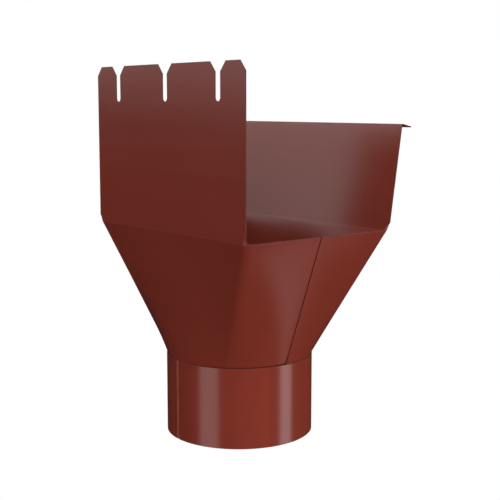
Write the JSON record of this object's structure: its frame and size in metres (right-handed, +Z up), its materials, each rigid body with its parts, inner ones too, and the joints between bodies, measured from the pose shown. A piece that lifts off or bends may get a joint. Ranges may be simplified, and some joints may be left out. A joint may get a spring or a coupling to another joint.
{
  "type": "gutter outlet",
  "caption": "Hang-on outlet for a box gutter: folded sheet-metal hopper with a tabbed back plate, a lipped leaning front wall and a round spigot below for the downpipe.",
  "frame": {"origin": "centre of the spigot at its foot", "axes": "+X along the gutter, +Y from the tabbed back plate to the lipped front wall, +Z up"},
  "size_m": [0.165, 0.1394, 0.2478],
  "materials": {
    "coated_sheet": "satin"
  },
  "bodies": {
    "root": {"back_shell": "coated_sheet", "front_shell": "coated_sheet", "outlet_pipe": "coated_sheet"}
  },
  "joints": []
}
